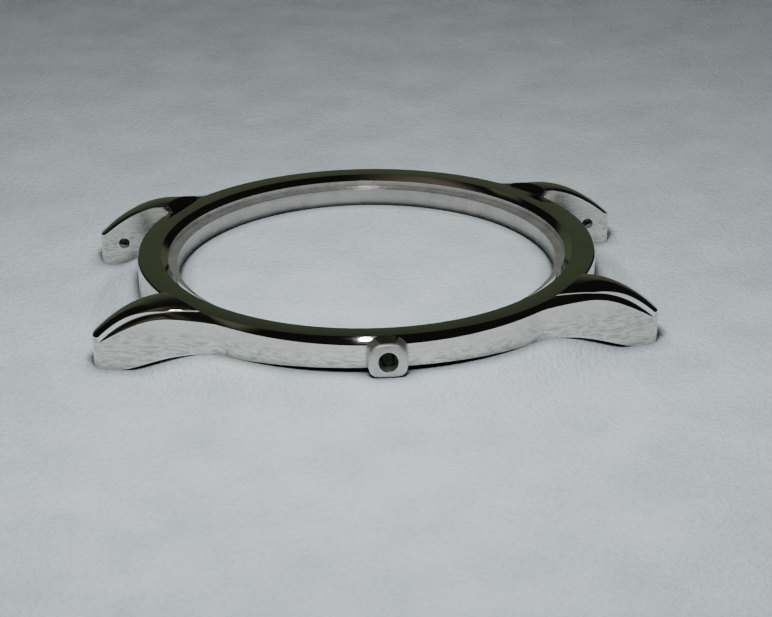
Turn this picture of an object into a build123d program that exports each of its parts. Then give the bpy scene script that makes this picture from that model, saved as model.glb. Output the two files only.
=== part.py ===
from build123d import *
from math import acos, asin, atan2, cos, radians, sin, sqrt
import os

# Empty wrist-watch case in millimetres: a turned band, four stepped lugs tenoned into it,
# a crown boss and the tube inside the boss.
# The origin is on the axis of the band, in the plane of its underside. +Z is the dial side,
# +X is three o'clock, where the crown sits, and +Y is twelve o'clock.

# Band, turned all round
band_radius = 19.7          # satin side
band_height = 3.0
shoulder_width = 0.25       # polished shoulder between the flat top and the satin side
flat_width = 1.75           # flat polished top
rim_bevel_width = 0.6       # polished bevel inside the flat top
rim_bevel_depth = 0.42
ledge_width = 0.8           # turned ledge under the crystal wall
ledge_depth = 0.95          # from the flat top down to the ledge
back_wall = 2.3             # metal round the recess that takes the back
back_depth = 0.5

# Shoulder and bevel over and under the satin side
shoulder_drop_crown = 0.6   # deepest at three and nine o'clock
shoulder_drop_strap = 0.32  # shallowest at twelve and six o'clock
slope_reach = 1.0           # height over which both surfaces are drawn
bevel_rise = 0.49           # height of the bevel at three and nine o'clock
bevel_run = 1.2
bevel_stop = 0.6            # how far before the lugs the bevel runs out

# Lugs, seen from above
lug_gap = 20.0              # strap width
lug_overhang = 3.6          # from the band's side to the farthest point of a lug
lug_end_width = 2.4         # width of the end, corner to corner
lug_end_crown = 0.5         # how far the rounded end stands out past its corners
lug_foot_angle = 41.04      # degrees round from the crown where the outer side meets the band
lug_hollow_radius = 2.5     # hollow between band and lug
lug_corner_radius = 0.45    # upright corners of the end

# Lugs, seen from the side
crest_rise = 0.71           # top of the roll above the flat top of the band
bend_length = 6.5           # from the beginning of the bend to the farthest point
bend_excess = 1.54          # of the bend's radius, at the crest, over its length
root_radius = 30.0          # gentler arc back to the band
root_turn = 20.0            # degrees of that arc
lug_rest = 1.95             # depth of the lug tips under the band
underside_reach_shares = (0.38, 0.61, 0.86)  # of the way from the bevel's end to the lug's end
underside_drop_shares = (0.19, 0.61, 1.0)   # of the depth of the tips

# Stepped top of a lug: the roll and the lower tier outside it
roll_crest_offset = 1.24    # from the inner face to the crest
roll_radius = 4.74          # of the roll, across the lug
roll_side_share = 0.8       # of the roll's radius drawn each side of the crest
section_foot_share = 0.25   # of the bend's radius at which the sections end below
tier_drop = 0.38            # from the crest to the flat of the lower tier
tier_bevel_width = 0.6
tier_bevel_drop = 0.42
root_round = 0.75           # rounding with which the lug rises from the band

# Tenons
tenon_width = 2.4
tenon_height = 1.0
tenon_offset = 1.2          # from the inner face of the lug
tenon_underside = 0.6
tenon_wall = 1.2            # metal left between tenon and movement bore
tenon_root = 0.5            # length buried in the lug's own body
braze_gap = 0.03

# Spring-bar holes
bar_hole_radius = 0.45
bar_hole_depth = 1.5
bar_hole_setback = 2.1      # from the farthest point of the lug
bar_hole_height = 0.1

# Crown boss and tube
stem_height = 1.45          # of the stem axis
boss_width = 3.15
boss_height = 2.6
boss_corner_radius = 0.95
boss_projection = 1.23      # of its face from the band's side
boss_edge_radius = 0.25
boss_pocket_depth = 0.5     # of the pocket in the band that it is seated in
spigot_radius = 1.1
spigot_length = 1.5
tube_radius = 0.85
tube_bore_radius = 0.65     # the stem hole in the band carries it on
tube_recess = 0.45          # below the face of the boss

overrun = 2.0               # how far every cutter passes what it cuts

# Sizes that follow from these
flat_outer_radius = band_radius - shoulder_width  # also the seat of the lugs
flat_inner_radius = flat_outer_radius - flat_width
crystal_radius = flat_inner_radius - rim_bevel_width
movement_radius = crystal_radius - ledge_width
back_radius = band_radius - back_wall
ledge_height = band_height - ledge_depth
crest_height = band_height + crest_rise
bend_radius = bend_length + bend_excess
bend_height = crest_height - bend_radius
boss_face = band_radius + boss_projection
boss_seat = band_radius - boss_pocket_depth
spigot_end = boss_seat - spigot_length

# Points of a lug that follow, seen from above
lug_inner = lug_gap / 2
lug_outer = lug_inner + lug_end_width
lug_reach = band_radius + lug_overhang
corner_reach = lug_reach - lug_end_crown
bend_reach = lug_reach - bend_length  # the bend begins here, above its axis
foot_across = band_radius * cos(radians(lug_foot_angle))
foot_along = band_radius * sin(radians(lug_foot_angle))
taper = atan2(foot_across - lug_outer, corner_reach - foot_along)
hollow_distance = lug_outer * cos(taper) + corner_reach * sin(taper) + lug_hollow_radius
hollow_reach = band_radius + lug_hollow_radius
hollow_angle = taper + acos(hollow_distance / hollow_reach)
bevel_end = band_radius * sin(hollow_angle) - bevel_stop
tenon_near = lug_inner + tenon_offset
tenon_tip = sqrt((movement_radius + tenon_wall) ** 2 - tenon_near**2)
tenon_base = sqrt(flat_outer_radius**2 - tenon_near**2) + tenon_root


def shoulder_trimmer():
    """Space inside the polished shoulder, which grows shallower towards the strap."""
    run = band_radius - flat_outer_radius
    half_x = flat_outer_radius + run * slope_reach / shoulder_drop_crown
    half_y = flat_outer_radius + run * slope_reach / shoulder_drop_strap
    with BuildPart() as trimmer:
        with BuildSketch(Plane.XY.offset(band_height)):
            Circle(flat_outer_radius)
        with BuildSketch(Plane.XY.offset(band_height - slope_reach)):
            Ellipse(half_x, half_y)
        loft(ruled=True)
        with BuildSketch(Plane.XY.offset(band_height - slope_reach)):
            Ellipse(half_x, half_y)
        extrude(amount=-band_height)
    return trimmer.part


def bevel_trimmer():
    """Space above the bevel under the satin side, which runs out before the lugs."""
    end_angle = asin(bevel_end / band_radius)
    low_x = band_radius - bevel_run
    low_y = sin(end_angle) / sqrt(1 / band_radius**2 - (cos(end_angle) / low_x) ** 2)
    high_x = low_x + bevel_run * slope_reach / bevel_rise
    high_y = low_y * high_x / low_x
    with BuildPart() as trimmer:
        with BuildSketch(Plane.XY):
            Ellipse(low_x, low_y)
        with BuildSketch(Plane.XY.offset(slope_reach)):
            Ellipse(high_x, high_y)
        loft(ruled=True)
        with BuildSketch(Plane.XY.offset(slope_reach)):
            Ellipse(high_x, high_y)
        extrude(amount=band_height)
    return trimmer.part


def band_blank():
    """The band as turned and bevelled, before anything is let into it."""
    with BuildPart() as blank:
        with BuildSketch(Plane.XZ):
            with BuildLine():
                Polyline(
                    (back_radius, 0), (band_radius, 0), (band_radius, band_height),
                    (flat_inner_radius, band_height), (crystal_radius, band_height - rim_bevel_depth),
                    (crystal_radius, ledge_height), (movement_radius, ledge_height),
                    (movement_radius, back_depth), (back_radius, back_depth), close=True,
                )
            make_face()
        revolve(axis=Axis.Z)
        add(shoulder_trimmer(), mode=Mode.INTERSECT)
        add(bevel_trimmer(), mode=Mode.INTERSECT)
    return blank.part


def lug_plan():
    """Face of a lug seen from above, from its seat on the band to its rounded end."""
    toward_hollow = Vector(cos(hollow_angle), sin(hollow_angle))
    on_side = toward_hollow * hollow_reach - Vector(cos(taper), sin(taper)) * lug_hollow_radius
    on_band = toward_hollow * band_radius
    on_seat = toward_hollow * flat_outer_radius
    root_corner = Vector(lug_inner, sqrt(flat_outer_radius**2 - lug_inner**2))
    seat_middle = (on_seat + root_corner).normalized() * flat_outer_radius
    end_middle = (lug_inner + lug_end_width / 2, lug_reach)
    with BuildSketch() as plan:
        with BuildLine():
            Line(root_corner, (lug_inner, corner_reach))
            ThreePointArc((lug_inner, corner_reach), end_middle, (lug_outer, corner_reach))
            Line((lug_outer, corner_reach), on_side)
            RadiusArc(on_side, on_band, -lug_hollow_radius)
            Line(on_band, on_seat)
            ThreePointArc(on_seat, seat_middle, root_corner)
        make_face()
    return plan.sketch


def roll_plan():
    """Face of the roll from above: the lug's outer side moved in by the lower tier's bevel."""
    along = Vector(sin(taper), -cos(taper))
    tip = Vector(lug_outer - tier_bevel_width * cos(taper), corner_reach - tier_bevel_width * sin(taper))
    near = tip + along * lug_inner
    far = tip - along * overrun
    with BuildSketch() as plan:
        with BuildLine():
            Polyline((lug_inner, near.Y), near, far, (lug_inner, far.Y), close=True)
        make_face()
    return plan.sketch


def section_plane():
    """Upright plane across a lug where its bend begins, with its origin on the bend's axis."""
    return Plane(origin=(lug_inner, bend_reach, bend_height), x_dir=(1, 0, 0), z_dir=(0, -1, 0))


def roll_section():
    """Section of the roll: one arc over the lug, highest near the inner face."""
    side = roll_radius * roll_side_share
    shoulder = bend_radius - roll_radius + sqrt(roll_radius**2 - side**2)
    foot = bend_radius * section_foot_share
    left, right = roll_crest_offset - side, roll_crest_offset + side
    with BuildSketch(section_plane()) as section:
        with BuildLine():
            ThreePointArc((left, shoulder), (roll_crest_offset, bend_radius), (right, shoulder))
            Polyline((right, shoulder), (right, foot), (left, foot), (left, shoulder))
        make_face()
    return section.sketch


def tier_section():
    """Section of the lower tier, flat across the lug."""
    top = bend_radius - tier_drop
    foot = bend_radius * section_foot_share
    with BuildSketch(section_plane()) as section:
        with BuildLine():
            Polyline((-overrun, top), (lug_inner, top), (lug_inner, foot), (-overrun, foot), close=True)
        make_face()
    return section.sketch


def bent_bar(section):
    """Bar bent like a lug: one section turned about the bend's axis and about the root's."""
    bend_axis = Axis((0, bend_reach, bend_height), (1, 0, 0))
    root_axis = Axis((0, bend_reach, crest_height - root_radius), (1, 0, 0))
    with BuildPart() as bar:
        revolve(section, bend_axis, revolution_arc=-90)
        revolve(section, root_axis, revolution_arc=root_turn)
    return bar.part


def tier_plan():
    """Plan of the lower tier before it is cut to length: it runs on past hollow and end."""
    toward_hollow = Vector(cos(hollow_angle), sin(hollow_angle))
    on_side = toward_hollow * hollow_reach - Vector(cos(taper), sin(taper)) * lug_hollow_radius
    on_band = toward_hollow * band_radius
    band_end = on_band + Vector(toward_hollow.Y, -toward_hollow.X) * overrun
    side_end = Vector(lug_outer, corner_reach) + Vector(-sin(taper), cos(taper)) * overrun
    with BuildSketch() as plan:
        with BuildLine():
            Polyline(band_end, (lug_inner, band_end.Y), (lug_inner, side_end.Y), side_end, on_side)
            RadiusArc(on_side, on_band, -lug_hollow_radius)
            Line(on_band, band_end)
        make_face()
    return plan.sketch


def lower_tier():
    """Lug up to its lower tier, with the polished bevel along its outer side and hollow."""
    side_middle = ((lug_outer + foot_across) / 2, (corner_reach + foot_along) / 2, 0)
    with BuildPart() as tier:
        add(bent_bar(tier_section()))
        extrude(tier_plan(), amount=bend_radius, both=True, mode=Mode.INTERSECT)
        outer_side = tier.faces().sort_by_distance(side_middle)[0]
        top_edge = outer_side.edges().sort_by(Axis.Z)[-1]
        chamfer(top_edge, tier_bevel_drop, tier_bevel_width, reference=outer_side)
    return tier.part


def roll():
    """Rolled upper tier of a lug, still square at its root."""
    with BuildPart() as upper:
        add(bent_bar(roll_section()))
        extrude(lug_plan(), amount=bend_radius, both=True, mode=Mode.INTERSECT)
        extrude(roll_plan(), amount=bend_radius, both=True, mode=Mode.INTERSECT)
    return upper.part


def root_cutter():
    """Ring above the rounding with which a lug rises from the band's flat top."""
    far = flat_outer_radius + root_round
    top = band_height + root_round
    middle = (far - root_round * cos(radians(45)), band_height + root_round * sin(radians(45)))
    with BuildPart() as cutter:
        with BuildSketch(Plane.XZ):
            with BuildLine():
                ThreePointArc((flat_outer_radius, band_height), middle, (far, top))
                Polyline(
                    (far, top), (far, top + overrun), (movement_radius, top + overrun),
                    (movement_radius, band_height), (flat_outer_radius, band_height),
                )
            make_face()
        revolve(axis=Axis.Z)
    return cutter.part


def underside_cutter():
    """Space under a lug, down which its underside sweeps to the rest of its tip."""
    length = lug_reach - bevel_end
    sweep = [(bevel_end, 0)]
    for reach, drop in zip(underside_reach_shares, underside_drop_shares):
        sweep.append((bevel_end + length * reach, -lug_rest * drop))
    far, low = lug_reach + overrun, bend_height - overrun
    with BuildPart() as cutter:
        with BuildSketch(Plane.YZ):
            with BuildLine():
                Spline(sweep, tangents=[(1, 0), (1, 0)])
                Polyline(sweep[-1], (far, -lug_rest), (far, low), (bevel_end, low), sweep[0])
            make_face()
        extrude(amount=band_radius)
    return cutter.part


def end_plan():
    """Face of a lug seen from above, with the upright corners of its end rounded."""
    with BuildSketch() as plan:
        add(lug_plan())
        fillet(plan.vertices().sort_by(Axis.Y)[-2:], lug_corner_radius)
    return plan.sketch


def tenon_block(gap):
    """Tenon of the lug at one o'clock, or its mortise when a gap is given."""
    with BuildPart() as block:
        with BuildSketch(Plane.XY.offset(tenon_underside - gap)):
            with BuildLine():
                Polyline(
                    (tenon_near - gap, tenon_tip - gap), (tenon_near + tenon_width + gap, tenon_tip - gap),
                    (tenon_near + tenon_width + gap, tenon_base), (tenon_near - gap, tenon_base), close=True,
                )
            make_face()
        extrude(amount=tenon_height + 2 * gap)
    return block.part


def shoulder_run():
    """The band's own shoulder and side over the seat, which the lug's root carries on."""
    with BuildPart() as run:
        add(band_blank())
        extrude(lug_plan(), amount=band_height, both=True, mode=Mode.INTERSECT)
    return run.part


def build_lug():
    """The lug at one o'clock, with its tenon and its blind spring-bar hole."""
    hole_mouth = Plane(
        origin=(lug_inner, lug_reach - bar_hole_setback, bar_hole_height), x_dir=(0, 1, 0), z_dir=(1, 0, 0)
    )
    with BuildPart() as lug:
        add(lower_tier())
        add(roll())
        extrude(end_plan(), amount=bend_radius, both=True, mode=Mode.INTERSECT)
        add(root_cutter(), mode=Mode.SUBTRACT)
        add(underside_cutter(), mode=Mode.SUBTRACT)
        add(shoulder_run())
        add(tenon_block(0))
        with BuildSketch(hole_mouth):
            Circle(bar_hole_radius)
        extrude(amount=bar_hole_depth, mode=Mode.SUBTRACT)
    return lug.part


def four_corners(shape):
    """A shape of the one o'clock corner, and its mirror images at five, seven and eleven."""
    five = mirror(shape, about=Plane.XZ)
    return shape, five, mirror(five, about=Plane.YZ), mirror(shape, about=Plane.YZ)


def seat_cutter():
    """Everything the lug and its mortise take out of the band at one o'clock."""
    with BuildPart() as cutter:
        extrude(lug_plan(), amount=band_height + overrun, both=True)
        add(tenon_block(braze_gap))
    return cutter.part


def boss_plan(sketch_plane):
    """Rounded outline of the crown boss on a plane across the stem."""
    with BuildSketch(sketch_plane) as outline:
        with Locations((0, stem_height)):
            RectangleRounded(boss_width, boss_height, boss_corner_radius)
    return outline.sketch


def stem_circle(distance, radius):
    """Circle about the stem axis at a distance from the band's axis."""
    with BuildSketch(Plane.YZ.offset(distance)) as outline:
        with Locations((0, stem_height)):
            Circle(radius)
    return outline.sketch


with BuildPart() as case_band:
    add(band_blank())
    for cutter in four_corners(seat_cutter()):
        add(cutter, mode=Mode.SUBTRACT)
    extrude(boss_plan(Plane.YZ.offset(boss_seat)), amount=overrun, mode=Mode.SUBTRACT)
    extrude(
        stem_circle(spigot_end - braze_gap, spigot_radius + braze_gap),
        amount=spigot_length + overrun, mode=Mode.SUBTRACT,
    )
    extrude(stem_circle(0, tube_bore_radius), amount=band_radius, mode=Mode.SUBTRACT)
case_band.part.label = "case_band"

with BuildPart() as crown_boss:
    extrude(boss_plan(Plane.YZ.offset(boss_seat)), amount=boss_face - boss_seat)
    fillet(crown_boss.faces().sort_by(Axis.X)[-1].edges(), boss_edge_radius)
    extrude(stem_circle(spigot_end, spigot_radius), amount=spigot_length)
    extrude(stem_circle(spigot_end, tube_radius), amount=boss_face, mode=Mode.SUBTRACT)
crown_boss.part.label = "crown_boss"

with BuildPart() as crown_tube:
    extrude(stem_circle(spigot_end, tube_radius), amount=boss_face - tube_recess - spigot_end)
    extrude(stem_circle(spigot_end, tube_bore_radius), amount=boss_face, mode=Mode.SUBTRACT)
crown_tube.part.label = "crown_tube"

lug_names = ("lug_one_oclock", "lug_five_oclock", "lug_seven_oclock", "lug_eleven_oclock")

os.makedirs("parts", exist_ok=True)
for node in (case_band, crown_boss, crown_tube):
    export_step(node.part, f"parts/{node.part.label}.step")
for name, lug in zip(lug_names, four_corners(build_lug())):
    lug.label = name
    export_step(lug, f"parts/{name}.step")
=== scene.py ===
import bmesh
import bpy
from math import acos, asin, atan2, cos, hypot, pi, radians, sin, sqrt, tan
from mathutils import Matrix, Vector


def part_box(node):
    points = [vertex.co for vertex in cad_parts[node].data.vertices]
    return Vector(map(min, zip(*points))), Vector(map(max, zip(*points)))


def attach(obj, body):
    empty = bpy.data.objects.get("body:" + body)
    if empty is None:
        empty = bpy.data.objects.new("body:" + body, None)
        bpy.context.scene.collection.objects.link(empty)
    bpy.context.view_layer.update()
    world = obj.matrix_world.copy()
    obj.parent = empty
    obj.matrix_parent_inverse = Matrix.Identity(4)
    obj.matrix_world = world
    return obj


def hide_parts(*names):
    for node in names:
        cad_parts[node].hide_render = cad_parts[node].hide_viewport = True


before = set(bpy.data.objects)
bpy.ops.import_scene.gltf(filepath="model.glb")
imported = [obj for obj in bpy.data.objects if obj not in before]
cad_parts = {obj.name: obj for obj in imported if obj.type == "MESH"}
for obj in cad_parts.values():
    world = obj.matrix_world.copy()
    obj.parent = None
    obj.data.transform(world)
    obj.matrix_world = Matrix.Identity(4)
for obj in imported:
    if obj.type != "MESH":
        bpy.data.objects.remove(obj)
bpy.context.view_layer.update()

mm = 0.001  # sizes are written in millimetres, meshes are in metres

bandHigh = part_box("case_band")[1] / mm
lugLow, lugHigh = (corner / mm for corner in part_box("lug_one_oclock"))
bossLow, bossHigh = (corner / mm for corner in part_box("crown_boss"))
tubeLow, tubeHigh = (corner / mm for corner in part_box("crown_tube"))


# Materials

def node(tree, kind, values=None, **settings):
    made = tree.nodes.new("ShaderNode" + kind)
    for key, value in settings.items():
        setattr(made, key, value)
    for socket, value in (values or {}).items():
        made.inputs[socket].default_value = value
    return made


def grainNoise(tree, along, across, detail=3.0, waver=0.0):
    # noise drawn out along the brushing; scales are per millimetre
    place = node(tree, "UVMap", uv_map="grain")
    stretch = node(tree, "Mapping", {"Scale": (along, across, 1)})
    noise = node(tree, "TexNoise", {"Scale": 1.0, "Detail": detail, "Roughness": 0.6, "Distortion": waver})
    tree.links.new(place.outputs["UV"], stretch.inputs["Vector"])
    tree.links.new(stretch.outputs["Vector"], noise.inputs["Vector"])
    return noise.outputs["Fac"]


def bodyNoise(tree, perMillimetre, detail=3.0):
    place = node(tree, "TexCoord")
    noise = node(tree, "TexNoise", {"Scale": perMillimetre / mm, "Detail": detail})
    tree.links.new(place.outputs["Object"], noise.inputs["Vector"])
    return noise.outputs["Fac"]


def spread(tree, value, low, high, fromLow=0.3, fromHigh=0.7):
    limits = {"From Min": fromLow, "From Max": fromHigh, "To Min": low, "To Max": high}
    mapped = node(tree, "MapRange", limits)
    tree.links.new(value, mapped.inputs["Value"])
    return mapped.outputs["Result"]


def total(tree, first, second, operation="ADD"):
    adder = node(tree, "Math", operation=operation)
    tree.links.new(first, adder.inputs[0])
    tree.links.new(second, adder.inputs[1])
    return adder.outputs["Value"]


# painted reflection of the cloth's fibres: noise scale along and across the brushing, and how the flecks thin
# out with height
fibreReflectionFlecks = dict(
    along=1.1, across=5.2, detail=4.0, waver=0.8, noiseLow=0.47, noiseHigh=0.6, amountLow=0.62,
    amountHigh=0.06, heightLow=0.9, heightHigh=2.3, tint=(1, 0.98, 0.95))


def paintedFibreReflection(tree, colour, depth):
    # painted reflection of the cloth's fibres: dark wavy flecks along the brushing, denser towards the
    # underside
    place = node(tree, "TexCoord")
    split = node(tree, "SeparateXYZ")
    tree.links.new(place.outputs["Object"], split.inputs["Vector"])
    noise = grainNoise(tree, fibreReflectionFlecks["along"], fibreReflectionFlecks["across"], fibreReflectionFlecks["detail"], fibreReflectionFlecks["waver"])
    amount = spread(tree, noise, 0.0, 1.0, fibreReflectionFlecks["noiseLow"], fibreReflectionFlecks["noiseHigh"])
    low = spread(tree, split.outputs["Z"], fibreReflectionFlecks["amountLow"], fibreReflectionFlecks["amountHigh"],
                 fibreReflectionFlecks["heightLow"] * mm, fibreReflectionFlecks["heightHigh"] * mm)
    strength = total(tree, amount, low, "MULTIPLY")
    dark = node(tree, "Mix", data_type="RGBA")
    dark.inputs["B"].default_value = (*(depth * part for part in fibreReflectionFlecks["tint"]), 1)
    tree.links.new(strength, dark.inputs["Factor"])
    tree.links.new(colour, dark.inputs["A"])
    return dark.outputs["Result"]


def steel(name, look):
    material = bpy.data.materials.new(name)
    material.use_nodes = True
    tree = material.node_tree
    surface = tree.nodes["Principled BSDF"]
    surface.inputs["Metallic"].default_value = look["metal"]
    surface.inputs["Anisotropic"].default_value = look["stretch"]
    surface.inputs["Anisotropic Rotation"].default_value = 0.25  # light spreads across the brushing
    wearAndSheen = node(tree, "Attribute", attribute_name="wearAndSheen").outputs["Fac"]

    # colour: faint clouding, and edges a little brighter, from wear and as a painted highlight along them
    clouds = bodyNoise(tree, look["cloudScale"])
    tone = node(tree, "ValToRGB")
    tone.color_ramp.elements[0].position = 0.35
    tone.color_ramp.elements[0].color = (*look["dark"], 1)
    tone.color_ramp.elements[1].position = 0.65
    tone.color_ramp.elements[1].color = (*look["light"], 1)
    tree.links.new(clouds, tone.inputs["Fac"])
    # finishes with a mottle depth get the painted fibre reflection
    colour = paintedFibreReflection(tree, tone.outputs["Color"], look["mottle"]) if look["mottle"] else tone.outputs["Color"]
    wornAndSheen = node(tree, "Mix", data_type="RGBA")
    wornAndSheen.inputs["B"].default_value = (*look["edge"], 1)
    tree.links.new(wearAndSheen, wornAndSheen.inputs["Factor"])
    tree.links.new(colour, wornAndSheen.inputs["A"])
    tree.links.new(wornAndSheen.outputs["Result"], surface.inputs["Base Color"])

    # roughness: lines of the finish, soft patches, worn edges
    lines = grainNoise(tree, look["lineAlong"], look["lineAcross"])
    rough = spread(tree, lines, look["roughLow"], look["roughHigh"])
    patches = spread(tree, clouds, -look["patch"], look["patch"])
    edges = node(tree, "Math", {1: look["edgeRough"]}, operation="MULTIPLY")
    tree.links.new(wearAndSheen, edges.inputs[0])
    rough = total(tree, total(tree, rough, patches), edges.outputs["Value"])
    limit = node(tree, "Clamp", {"Min": 0.02, "Max": 0.9})
    tree.links.new(rough, limit.inputs["Value"])
    tree.links.new(limit.outputs["Result"], surface.inputs["Roughness"])

    # relief: lines of the finish over slow waves left by the wheel
    waves = grainNoise(tree, look["waveAlong"], look["waveAcross"], detail=1.5)
    slow = node(tree, "Bump", {"Strength": 1.0, "Distance": look["waveDepth"] * mm})
    fine = node(tree, "Bump", {"Strength": 1.0, "Distance": look["lineDepth"] * mm})
    tree.links.new(waves, slow.inputs["Height"])
    tree.links.new(lines, fine.inputs["Height"])
    tree.links.new(slow.outputs["Normal"], fine.inputs["Normal"])
    tree.links.new(fine.outputs["Normal"], surface.inputs["Normal"])
    if look["stretch"]:
        along = node(tree, "Tangent", direction_type="UV_MAP", uv_map="grain")
        tree.links.new(along.outputs["Tangent"], surface.inputs["Tangent"])
    return material


polished = steel("polished steel", dict(
    metal=1.0, dark=(0.70, 0.69, 0.66), light=(0.76, 0.75, 0.72), edge=(0.85, 0.84, 0.82),
    cloudScale=0.35, mottle=0, roughLow=0.02, roughHigh=0.055, patch=0.008, edgeRough=0.06, stretch=0.0,
    lineAlong=0.5, lineAcross=7.0, lineDepth=0.00002, waveAlong=0.12, waveAcross=0.35, waveDepth=0.0006))
satin = steel("satin steel", dict(
    metal=1.0, dark=(0.72, 0.685, 0.635), light=(0.82, 0.785, 0.73), edge=(0.88, 0.85, 0.80),
    cloudScale=0.5, mottle=0.3, roughLow=0.2, roughHigh=0.32, patch=0.03, edgeRough=-0.05, stretch=0.45,
    lineAlong=0.3, lineAcross=12.0, lineDepth=0.0016, waveAlong=0.35, waveAcross=1.3, waveDepth=0.016))
matt = steel("matt steel", dict(
    metal=1.0, dark=(0.74, 0.73, 0.71), light=(0.81, 0.8, 0.78), edge=(0.88, 0.87, 0.85),
    cloudScale=0.9, mottle=0.6, roughLow=0.52, roughHigh=0.62, patch=0.03, edgeRough=-0.04, stretch=0.0,
    lineAlong=1.5, lineAcross=9.0, lineDepth=0.0012, waveAlong=0.6, waveAcross=1.4, waveDepth=0.006))
turned = steel("turned steel", dict(
    metal=1.0, dark=(0.53, 0.50, 0.47), light=(0.64, 0.61, 0.57), edge=(0.7, 0.67, 0.63),
    cloudScale=0.6, mottle=0, roughLow=0.24, roughHigh=0.36, patch=0.03, edgeRough=-0.08, stretch=0.6,
    lineAlong=0.05, lineAcross=16.0, lineDepth=0.0015, waveAlong=0.1, waveAcross=1.5, waveDepth=0.003))
# seat steel is turned steel made darker: painted shade on the crystal wall and the ledge under the rim
seat = steel("seat steel", dict(
    metal=0.78, dark=(0.36, 0.35, 0.33), light=(0.44, 0.43, 0.41), edge=(0.5, 0.49, 0.47),
    cloudScale=0.6, mottle=0, roughLow=0.22, roughHigh=0.34, patch=0.03, edgeRough=-0.08, stretch=0.6,
    lineAlong=0.05, lineAcross=16.0, lineDepth=0.0015, waveAlong=0.1, waveAcross=1.5, waveDepth=0.003))
ground = steel("ground steel", dict(
    metal=1.0, dark=(0.6, 0.59, 0.57), light=(0.7, 0.69, 0.67), edge=(0.85, 0.84, 0.82),
    cloudScale=0.5, mottle=0, roughLow=0.24, roughHigh=0.4, patch=0.04, edgeRough=-0.06, stretch=0.3,
    lineAlong=0.3, lineAcross=9.0, lineDepth=0.0015, waveAlong=0.2, waveAcross=0.8, waveDepth=0.004))
# a dark steel for the insides of holes and the crown tube: painted shade in the bores
shadedDrilled = steel("drilled steel", dict(
    metal=0.85, dark=(0.17, 0.165, 0.15), light=(0.23, 0.22, 0.2), edge=(0.5, 0.49, 0.47),
    cloudScale=1.2, mottle=0, roughLow=0.28, roughHigh=0.42, patch=0.05, edgeRough=-0.15, stretch=0.0,
    lineAlong=0.4, lineAcross=14.0, lineDepth=0.002, waveAlong=0.5, waveAcross=2.0, waveDepth=0.004))
finishes = dict(
    polished=polished, satin=satin, matt=matt, turned=turned, seat=seat, ground=ground, shadedDrilled=shadedDrilled)
print("materials made")


# Mesh helpers

joinDistance = 0.00002  # millimetres, for points that fall together


def newMesh(name, points, faces):
    mesh = bpy.data.meshes.new(name)
    mesh.from_pydata([(x * mm, y * mm, z * mm) for x, y, z in points], [], faces)
    return mesh


def cleanMesh(mesh):
    # joins points that fall together and turns every face outwards
    work = bmesh.new()
    work.from_mesh(mesh)
    bmesh.ops.remove_doubles(work, verts=work.verts, dist=joinDistance * mm)
    bmesh.ops.dissolve_degenerate(work, edges=work.edges, dist=joinDistance * mm)
    bmesh.ops.recalc_face_normals(work, faces=work.faces)
    work.to_mesh(mesh)
    work.free()


def buildPiece(name, points, wearAndSheen, faces, finishOfFace, grainOfFace, cadNode):
    mesh = newMesh(name, points, faces)
    used = list(dict.fromkeys(finishOfFace))
    for finish in used:
        mesh.materials.append(finishes[finish])
    mesh.polygons.foreach_set("material_index", [used.index(finish) for finish in finishOfFace])
    grain = mesh.uv_layers.new(name="grain")
    grain.data.foreach_set("uv", [value for face in grainOfFace for pair in face for value in pair])
    # per point: edge wear and a painted edge highlight, both brightening the colour
    mesh.attributes.new("wearAndSheen", "FLOAT", "POINT").data.foreach_set("value", wearAndSheen)
    cleanMesh(mesh)
    piece = bpy.data.objects.new(name, mesh)
    bpy.context.scene.collection.objects.link(piece)
    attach(piece, "root")
    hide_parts(cadNode)
    return piece


def shade(piece, sharpAngle=28):
    piece.data.shade_smooth()
    piece.data.set_sharp_from_angle(angle=radians(sharpAngle))
    crisp = piece.modifiers.new("crisp edges", "WEIGHTED_NORMAL")
    crisp.keep_sharp = True
    crisp.weight = 60


def drill(piece, cutter):
    # cuts a hole whose walls keep the cutter's finish, darkened as painted shade, then drops the cutter
    hole = piece.modifiers.new("hole", "BOOLEAN")
    hole.operation = "DIFFERENCE"
    hole.solver = "EXACT"
    hole.material_mode = "TRANSFER"
    hole.object = cutter
    bpy.context.view_layer.update()
    cut = bpy.data.meshes.new_from_object(piece.evaluated_get(bpy.context.evaluated_depsgraph_get()))
    piece.modifiers.clear()
    piece.data = cut
    bpy.data.objects.remove(cutter)


def latheOnX(profile, centreY, centreZ, sides):
    # profile: (x, radius) pairs of a closed outline turned about an axis along X
    points, faces = [], []
    count = len(profile)
    for side in range(sides):
        angle = 2 * pi * side / sides
        for x, radius in profile:
            points.append((x, centreY + radius * cos(angle), centreZ + radius * sin(angle)))
    for side in range(sides):
        after = (side + 1) % sides
        for step in range(count):
            following = (step + 1) % count
            faces.append((side * count + step, side * count + following,
                          after * count + following, after * count + step))
    return points, faces


def holeCutter(name, profile, centreY, centreZ, sides=48):
    points, faces = latheOnX(profile, centreY, centreZ, sides)
    mesh = newMesh(name, points, faces)
    mesh.materials.append(shadedDrilled)
    cleanMesh(mesh)
    cutter = bpy.data.objects.new(name, mesh)
    bpy.context.scene.collection.objects.link(cutter)
    return cutter


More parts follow.
